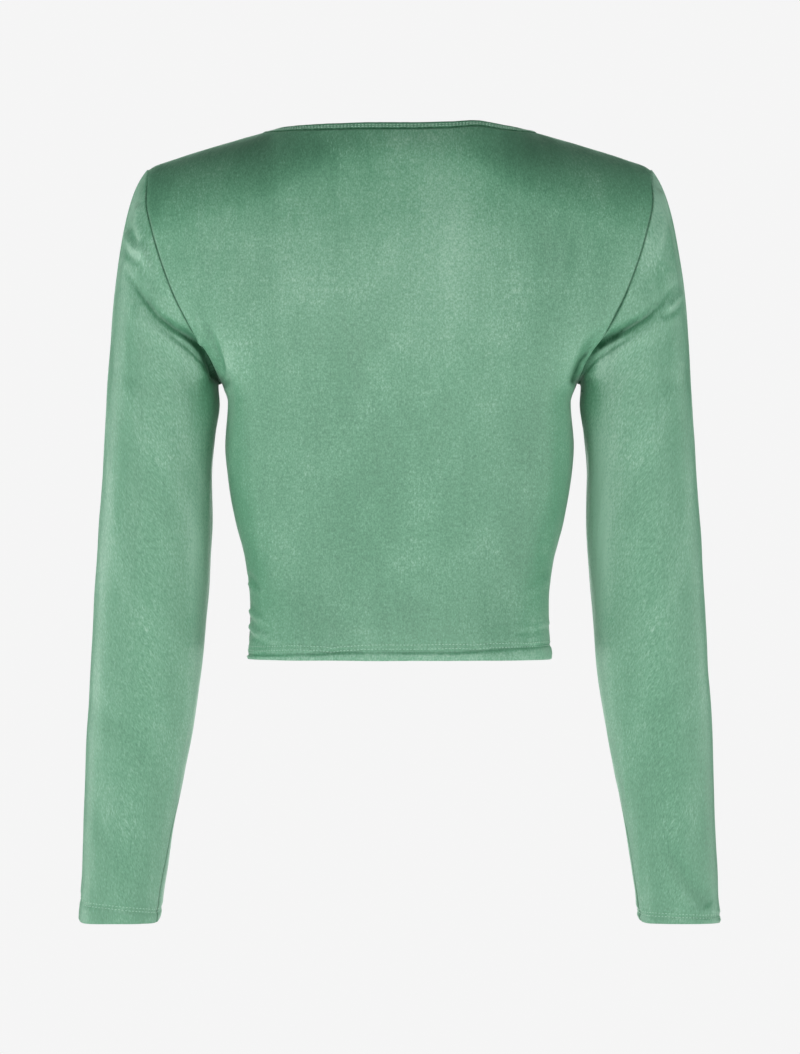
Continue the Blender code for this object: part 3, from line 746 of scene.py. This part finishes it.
bindingCut = {
    # on into the neck, out of the panel's face
    "section": (
        (0.0, 0.1), (0.9, 0.65), (2.2, 0.7), (3.6, 0.55), (5.0, 0.75), (6.2, 0.45),
        (6.8, -0.5), (6.3, -1.45), (4.6, -1.8), (2.4, -1.9), (0.7, -1.7), (0.1, -0.9),
    ),
    # pale paints the whole binding paler as painted sheen, and shade paints shade where its inner edge turns
    # in
    "sectionPoints": 30, "girth": 19, "pale": 0.35,
    "shade": (3.9, 1.2, 0.9),  # where its inner edge turns to shade, over which width, and how dark
    "stitchRows": (1.7, 3.5), "stitchLift": 0.62,
}


def closedCurve(points, count):
    points = np.array(points, float)
    size = len(points)
    out = []
    for place in np.arange(count) * size / count:
        i = int(place)
        t = place - i
        a, b, c, d = (points[(i + k) % size] for k in (-1, 0, 1, 2))
        bend, twist = 2 * a - 5 * b + 4 * c - d, 3 * b - a - 3 * c + d
        out.append(0.5 * (2 * b + (c - a) * t + bend * t**2 + twist * t**3))
    return np.array(out)


def neckLoop():
    edge = {side: panels[side][0][0] for side in (1, -1)}
    out = {side: panels[side][1][0] for side in (1, -1)}
    counts = bodyCut["neckColumns"]
    points, face = [], []
    for side, half in ((1, 1), (-1, 1), (-1, -1), (1, -1)):
        order = len(edge[side]) // 2 + half * np.arange(counts[side] + 1)
        order = order[:-1] if side == half else order[:0:-1]
        points.append(edge[side][order])
        face.append(out[side][order])
    points, face = np.concatenate(points), np.concatenate(face)
    for at in (counts[1], counts[1] + 2 * counts[-1]):
        points[at, 1] = 0
        face[at] = (face[at - 2] + face[at + 2]) * (1, 0, 1)
    for _ in range(6):
        face = unit(face + 0.5 * (np.roll(face, 1, axis=0) + np.roll(face, -1, axis=0)))
    along = np.roll(points, -1, axis=0) - np.roll(points, 1, axis=0)
    return points, face, unit(np.cross(along, face))


neckEdge, neckFace, neckInward = neckLoop()


def makeBinding(name):
    section = closedCurve(bindingCut["section"], bindingCut["sectionPoints"])
    around = lengthsAlong(looped(neckEdge)[None], 1)[0]
    wobble = crinkles("binding", around[:-1], 0)[:, None]
    rows = [neckEdge + neckInward * reach + neckFace * (rise + wobble) for reach, rise in section]
    grid = looped(rows)
    grid = np.concatenate([grid, grid[:, :1]], axis=1)
    girth = np.linspace(0, bindingCut["girth"], len(grid))[:, None]
    uvs = np.stack(np.broadcast_arrays(around[None, :], girth), -1) * mm
    reach = np.broadcast_to(np.abs(looped(section)[:, :1]), grid.shape[:2])
    start, over, dark = bindingCut["shade"]
    # painted sheen over the binding, and painted shade where its inner edge turns in
    paintedLight = bindingCut["pale"] - dark * ramp((reach - start) / over)
    return layGrid(name, grid, uvs, np.stack([reach * 0.65 + 0.1, paintedLight], -1), closed=True)


# the drawstring's casing: two open channels sewn down the centre front
casingCut = {
    "width": 24, "top": -121, "bottom": -400, "wall": 0.8, "lift": 1.15, "channelRise": 2.4, "columns": 14,
    "stitchPlaces": (-0.93, 0.0, 0.93), "stitchLift": 1.2,
}


def casingLine(place, lift):
    # a line of points down the casing, place from -1 to 1 across it
    points, normals = panels[-1][:2]
    middle = points.shape[1] // 2
    level = points[:, middle, 2]
    liesOn = (level < casingCut["top"]) & (level > casingCut["bottom"])
    centre, beside = points[liesOn, middle], points[liesOn, middle + 4]
    face = unit(normals[liesOn, middle] * (0, 1, 1))
    half = casingCut["width"] / 2
    line = centre + (beside - centre) * (abs(place) * half / beside[:, :1])
    line[:, 0] = place * half
    pucker = 0.35 * ripples(0, centre[:, 2], 17, 10, 11) + 0.25 * ripples(place * 5, centre[:, 2], 18, 10, 22)
    crown = abs(math.sin(place * math.pi))
    rise = lift + casingCut["channelRise"] * crown + pucker * (0.25 + crown)
    return line + face * rise[:, None], face


def makeCasing(name):
    places = np.linspace(-1, 1, 2 * casingCut["columns"] + 1)
    grid = np.array([casingLine(place, casingCut["lift"])[0] for place in places]).transpose(1, 0, 2)
    u = np.broadcast_to(lengthsAlong(grid, 1), grid.shape[:2])
    uvs = np.stack([u, grid[..., 2]], -1) * mm
    fromSeam = np.minimum(np.abs(places), 1 - np.abs(places)) * casingCut["width"] / 2 + 0.8
    seam = np.broadcast_to(fromSeam[None, :], grid.shape[:2])
    return layGrid(name, grid, uvs, np.stack([seam, 0 * seam], -1), cloth=casingCut["wall"])


stitchLook = {
    "pitch": 2.7, "length": 1.9, "width": 0.75, "height": 0.6, "lift": 0.1, "stray": 0.08, "step": 0.6,
}


def atPlaces(places, run, values):
    # the values of a row of points, read off at those places along its run
    return np.stack([np.interp(places, run, values[:, i]) for i in range(3)], -1)


def sewRow(thread, stitch, path, outward, draw):
    # a ball drawn out to a stitch every few millimetres along the path, partly sunk in the cloth
    run = lengthsAlong(path[None], 1)[0]
    count = int(run[-1] / stitchLook["pitch"])
    places = (np.arange(count) + 0.5) * run[-1] / count
    step, stray = stitchLook["step"], stitchLook["stray"]
    alongs = unit(atPlaces(places + step, run, path) - atPlaces(places - step, run, path))
    outs = unit(atPlaces(places, run, outward))
    for spot, along, out in zip(atPlaces(places, run, path), alongs, outs):
        side = unit(np.cross(out, along))
        spot = spot + out * stitchLook["lift"] + side * draw.uniform(-stray, stray)
        length = stitchLook["length"] * draw.uniform(0.92, 1.06) / 2
        frameRows = np.eye(4)
        frameRows[:3, 0] = along * length
        frameRows[:3, 1] = side * stitchLook["width"] / 2
        frameRows[:3, 2] = out * stitchLook["height"] / 2
        frameRows[:3, 3] = spot
        frameRows[:3] *= mm
        placed = stitch.copy()
        placed.transform(Matrix(frameRows.tolist()))
        thread.from_mesh(placed)
        bpy.data.meshes.remove(placed)


def stitching(name, rows, seed):
    draw = random.Random(seed)
    thread, ball = bmesh.new(), bmesh.new()
    bmesh.ops.create_uvsphere(ball, u_segments=6, v_segments=4, radius=1)
    stitch = toMesh("stitch", ball)
    for path, outward in rows:
        sewRow(thread, stitch, path, outward, draw)
    bpy.data.meshes.remove(stitch)
    return addPiece(name, thread)


def lineAbove(points, normals, distance):
    # the line across a piece at that distance above its turned edge; distance may vary by column
    fromEdge = lengthsAlong(points[::-1], 0)
    distance = np.broadcast_to(distance, points.shape[1])

    def across(values):
        columns = zip(distance, fromEdge.T, values[::-1].transpose(1, 0, 2))
        return np.array([atPlaces(*column) for column in columns])

    return across(points), unit(across(normals))


# the stitch rows' heights above the turned edges, and how they slant across the piece
edgeStitches = {
    "hem": (9.0, 12.2), "hemSlant": 1.6 / 117, "cuff": {1: (11.0, 13.6), -1: (5.0, 7.6)},
    "cuffSlant": {1: 3.4, -1: -1.36},
}


def hemStitches():
    rows = []
    for side in (1, -1):
        points, normals = panels[side][:2]
        slant = edgeStitches["hemSlant"] * points[-1, :, 0]
        for distance in edgeStitches["hem"]:
            rows.append(lineAbove(points, normals, distance - slant))
    return rows


def cuffStitches(half):
    points, normals = sleeves[half][:2]
    around = lengthsAlong(points, 1)[-1]
    slope = edgeStitches["cuffSlant"][half] * np.cos(around / around[-1] * math.tau)
    rows = []
    for distance in edgeStitches["cuff"][half]:
        line, out = lineAbove(points, normals, distance + slope)
        rows.append((line * (half, 1, 1), out * (half, 1, 1)))
    return rows


def neckStitches():
    rows = []
    for reach in bindingCut["stitchRows"]:
        line = neckEdge + neckInward * reach + neckFace * bindingCut["stitchLift"]
        rows.append((looped(line), looped(neckFace)))
    return rows


def casingStitches():
    return [casingLine(place, casingCut["stitchLift"]) for place in casingCut["stitchPlaces"]]


class Wire:
    # an output whose sums and products become Math nodes
    def __init__(self, finish, socket):
        self.finish, self.socket = finish, socket

    def math(self, operation, first, second):
        return self.finish.add("Math", {0: first, 1: second}, operation=operation)

    def __add__(self, other):
        return self.math("ADD", self, other)

    def __sub__(self, other):
        return self.math("SUBTRACT", self, other)

    def __rsub__(self, other):
        return self.math("SUBTRACT", other, self)

    def __mul__(self, other):
        return self.math("MULTIPLY", self, other)

    __radd__, __rmul__ = __add__, __mul__


class Finish:
    # the nodes of a material or the world, and the one way to add another
    def __init__(self, owner):
        owner.use_nodes = True
        self.owner, self.tree = owner, owner.node_tree
        self.shader = self.tree.nodes.get("Principled BSDF")

    def add(self, kind, sockets=None, out=0, **settings):
        node = self.tree.nodes.new("ShaderNode" + kind)
        for name, value in settings.items():
            setattr(node, name, value)
        self.fill(node, sockets or {})
        return Wire(self, node.outputs[out])

    def fill(self, node, sockets):
        for name, value in sockets.items():
            if isinstance(value, Wire):
                self.tree.links.new(value.socket, node.inputs[name])
            else:
                node.inputs[name].default_value = value

    def noise(self, place, scale, detail, roughness):
        at = self.add("Mapping", {"Vector": place, "Scale": scale})
        return self.add("TexNoise", {"Vector": at, "Scale": 1, "Detail": detail, "Roughness": roughness})

    def spread(self, value, low, high, most=1.0, kind="LINEAR"):
        # from 0 where the value is low to most where it is high
        return self.add("MapRange", {0: value, 1: low, 2: high, 3: 0.0, 4: most}, interpolation_type=kind)

    def mix(self, factor, first, second):
        return self.add("Mix", {0: factor, 6: first, 7: second}, 2, data_type="RGBA")


satinLook = {
    "deep": (0.072, 0.225, 0.130, 1), "green": (0.126, 0.338, 0.204, 1),
    "pale": (0.330, 0.560, 0.420, 1), "roughness": 0.42, "sheen": 0.45,
    "sheenRoughness": 0.3, "sheenTint": (0.55, 0.9, 0.68, 1), "specular": 0.9,
    # grains a metre across and along the cloth, then the noise's detail and roughness
    "threads": ((900, 560, 1), 2, 0.6), "crinkle": ((430, 230, 1), 3, 0.6),
    "rubbed": ((150, 34, 1), 3, 0.6), "clouds": ((18, 10, 1), 3, 0.5),
    "bands": ((48, 5, 1), 2, 0.5), "dashes": ((560, 230, 1), 2, 0.7),
    "patches": ((30, 20, 1), 2, 0.5), "grain": 2.5, "seamShade": 1.0,
    # the colour of the painted shade along seams and creases
    "seamAndCreaseShade": (0.001, 0.072, 0.024, 1),
}


def satin(name, look):
    finish = Finish(bpy.data.materials.new(name))
    uv = finish.add("UVMap", uv_map="cloth")
    names = ("threads", "crinkle", "rubbed", "clouds", "bands")
    threads, crinkle, rubbed, clouds, bands = (finish.noise(uv, *look[name]) - 0.5 for name in names)
    # attributes carrying the painted light and shade, and the painted shade along seams and creases
    paintedLight, seam = (finish.add("Attribute", out=2, attribute_name=name) for name in ("paintedLight", "seam"))
    fine = threads * look["grain"] + crinkle * (look["grain"] * 0.6) + rubbed * 0.5
    dashes = finish.spread(finish.noise(uv, *look["dashes"]), 0.53, 0.68)
    patches = finish.spread(finish.noise(uv, *look["patches"]), 0.48, 0.68)
    # the tone adds the painted light and shade to the cloth's own uneven grain and clouds
    tone = fine + clouds * 0.55 + bands * 0.35 + patches * 0.14 + dashes * patches * 0.65 + paintedLight - 0.05
    paler = finish.spread(tone, 0.0, 1.0, 0.8)
    deeper = finish.spread(tone, 0.0, -0.8, 0.9)
    colour = finish.mix(paler, look["green"], look["pale"])
    colour = finish.mix(deeper, colour, look["deep"])
    # painted shade along seams and creases
    colour = finish.mix(seam * (look["seamShade"] + crinkle * 1.6 + rubbed * 1.2), colour, look["seamAndCreaseShade"])
    shine = look["roughness"] + rubbed * 0.25 + clouds * 0.1 + seam * 0.5
    height = threads * 0.8 + crinkle * 1.2 + rubbed * 0.5
    bump = finish.add("Bump", {"Strength": 0.6, "Distance": 0.0004, "Height": height})
    finish.fill(finish.shader, {
        "Base Color": colour, "Roughness": shine, "Normal": bump, "Specular IOR Level": look["specular"],
        "Sheen Weight": look["sheen"], "Sheen Roughness": look["sheenRoughness"],
        "Sheen Tint": look["sheenTint"],
    })
    return finish.owner


threadLook = {
    "green": (0.42, 0.66, 0.51, 1), "deep": (0.26, 0.49, 0.35, 1), "roughness": 0.5, "sheen": 0.2,
    "twist": (2600,) * 3, "uneven": (60,) * 3,
}


def threadFinish(name, look):
    finish = Finish(bpy.data.materials.new(name))
    place = finish.add("TexCoord", out=3)
    twist = finish.noise(place, look["twist"], 2, 0.5)
    uneven = finish.noise(place, look["uneven"], 2, 0.5)
    colour = finish.mix(twist * 0.6 + uneven * 0.4, look["deep"], look["green"])
    bump = finish.add("Bump", {"Strength": 0.3, "Distance": 0.0002, "Height": twist})
    shine = look["roughness"] + (twist - 0.5) * 0.2
    sockets = {"Base Color": colour, "Roughness": shine, "Normal": bump, "Sheen Weight": look["sheen"]}
    finish.fill(finish.shader, sockets)
    return finish.owner


clothFinish = satin("green_satin_jersey", satinLook)
bindingFinish = satin("green_satin_binding", {**satinLook, "roughness": 0.48})
casingFinish = satin("green_satin_casing", {**satinLook, "roughness": 0.46})
thread = threadFinish("green_thread", threadLook)


def finishPiece(piece, material, slot, *nodes):
    piece.data.materials.append(material)
    if nodes:
        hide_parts(*nodes)
    return piece


backCloth = makeCloth("back_cloth", panels[1], bodyCut["hemTurn"], mirror=(1, 1, 1))
backPanel = finishPiece(backCloth, clothFinish, "cloth", "back_panel")
frontCloth = makeCloth("front_cloth", panels[-1], bodyCut["hemTurn"])
frontPanel = finishPiece(frontCloth, clothFinish, "cloth", "front_panel")
print("panels made")
leftCloth = makeCloth("sleeve_cloth_left", sleeves[1], sleeveCut["cuffTurn"], True)
leftSleeve = finishPiece(leftCloth, clothFinish, "cloth", "sleeve_left")
rightCloth = makeCloth("sleeve_cloth_right", sleeves[-1], sleeveCut["cuffTurn"], True, (-1, 1, 1))
rightSleeve = finishPiece(rightCloth, clothFinish, "cloth", "sleeve_right")
print("sleeves made")
binding = finishPiece(makeBinding("neck_binding_cloth"), bindingFinish, "binding", "neck_binding")
casing = finishPiece(makeCasing("drawstring_casing_cloth"), casingFinish, "casing", "drawstring_casing")
print("binding and casing made")
hemThread = finishPiece(stitching("hem_stitching", hemStitches(), 101), thread, "cloth")
leftThread = finishPiece(stitching("cuff_stitching_left", cuffStitches(1), 102), thread, "cloth")
rightThread = finishPiece(stitching("cuff_stitching_right", cuffStitches(-1), 103), thread, "cloth")
neckThread = finishPiece(stitching("neck_stitching", neckStitches(), 104), thread, "binding")
casingThread = finishPiece(stitching("casing_stitching", casingStitches(), 105), thread, "casing")
print("stitching made")

room = {
    "floor": -1.25, "floorRadius": 7.0, "floorGrey": 0.86, "pale": 0.915, "ambient": 0.05,
    "lightMiddle": -0.3,
    "blend": (0.3, 2.3),  # distances from the middle over which the floor turns as pale as the background
}
lights = {
    # azimuth from behind towards the wearer's left, elevation, distance, width, height, watts, shine
    "key": (8, 10, 2.8, 3.6, 1.0, 21, True), "keyMiddle": (-10, 8, 3.2, 0.7, 1.0, 4, True),
    "left": (66, -4, 3.0, 1.4, 1.6, 30, False), "innerLeft": (36, -6, 3.0, 1.2, 1.6, 10, False),
    "innerRight": (-36, -6, 3.0, 1.2, 1.6, 11, False), "right": (-64, -4, 3.0, 1.4, 1.6, 26, False),
    "rimLeft": (108, -4, 3.2, 1.2, 1.8, 22, True), "rimRight": (-108, -6, 3.2, 1.2, 1.8, 14, True),
    "front": (180, 0, 3.2, 1.6, 1.6, 16, True), "frontKey": (165, 16, 3.2, 1.3, 1.5, 30, False),
    "frontFill": (-168, -4, 3.4, 1.6, 1.8, 24, False),
}


def makeLights():
    for name, (azimuth, elevation, distance, width, height, power, shine) in lights.items():
        a, e = math.radians(azimuth), math.radians(elevation)
        place = np.array([math.sin(a) * math.cos(e), math.cos(a) * math.cos(e), math.sin(e)]) * distance
        data = bpy.data.lights.new(name, "AREA")
        data.shape = "RECTANGLE"
        data.size, data.size_y, data.energy = width, height, power
        lamp = addObject(name, data)
        lamp.location = (place[0], place[1], place[2] + room["lightMiddle"])
        lamp.rotation_euler = (math.radians(90) - e, 0, math.pi - a)
        lamp.visible_camera = False
        lamp.visible_glossy = shine


def grey(level):
    return (level, level, level, 1)


def makeRoom():
    world = bpy.data.worlds.new("studio")
    bpy.context.scene.world = world
    studio = Finish(world)
    studio.tree.nodes.clear()
    dim, pale = (studio.add("Background", {"Color": grey(room[name])}) for name in ("ambient", "pale"))
    seen = studio.add("LightPath")
    both = studio.add("MixShader", {0: seen, 1: dim, 2: pale})
    studio.fill(studio.tree.nodes.new("ShaderNodeOutputWorld"), {0: both})

    disc = bmesh.new()
    bmesh.ops.create_circle(disc, cap_ends=True, segments=96, radius=room["floorRadius"])
    bmesh.ops.translate(disc, vec=(0, 0, room["floor"]), verts=disc.verts[:])
    floor = addObject("floor", toMesh("floor", disc))
    finish = Finish(bpy.data.materials.new("pale_floor"))
    place = finish.add("TexCoord", out=3)
    out = finish.add("VectorMath", {0: place}, 1, operation="LENGTH")
    rim = finish.spread(out, *room["blend"], kind="SMOOTHSTEP")
    dull = {"Base Color": grey(room["floorGrey"]), "Roughness": 0.9, "Specular IOR Level": 0.1}
    finish.fill(finish.shader, dull)
    glow = finish.add("Emission", {"Color": grey(room["pale"]), "Strength": 1.0})
    both = finish.add("MixShader", {0: rim, 1: Wire(finish, finish.shader.outputs[0]), 2: glow})
    finish.fill(finish.tree.nodes["Material Output"], {0: both})
    floor.data.materials.append(finish.owner)


view = {"lens": 197.05, "place": (-0.0004, 4.5, -0.3089)}


def makeCamera():
    data = bpy.data.cameras.new("camera")
    data.sensor_width, data.lens = 36, view["lens"]
    data.clip_start, data.clip_end = 0.1, 60
    camera = addObject("camera", data)
    camera.location = view["place"]
    camera.rotation_euler = (math.radians(90), 0, math.pi)
    bpy.context.scene.camera = camera


makeLights()
makeRoom()
makeCamera()
bpy.context.scene.view_settings.view_transform = "Standard"
print("room, lights and camera made")
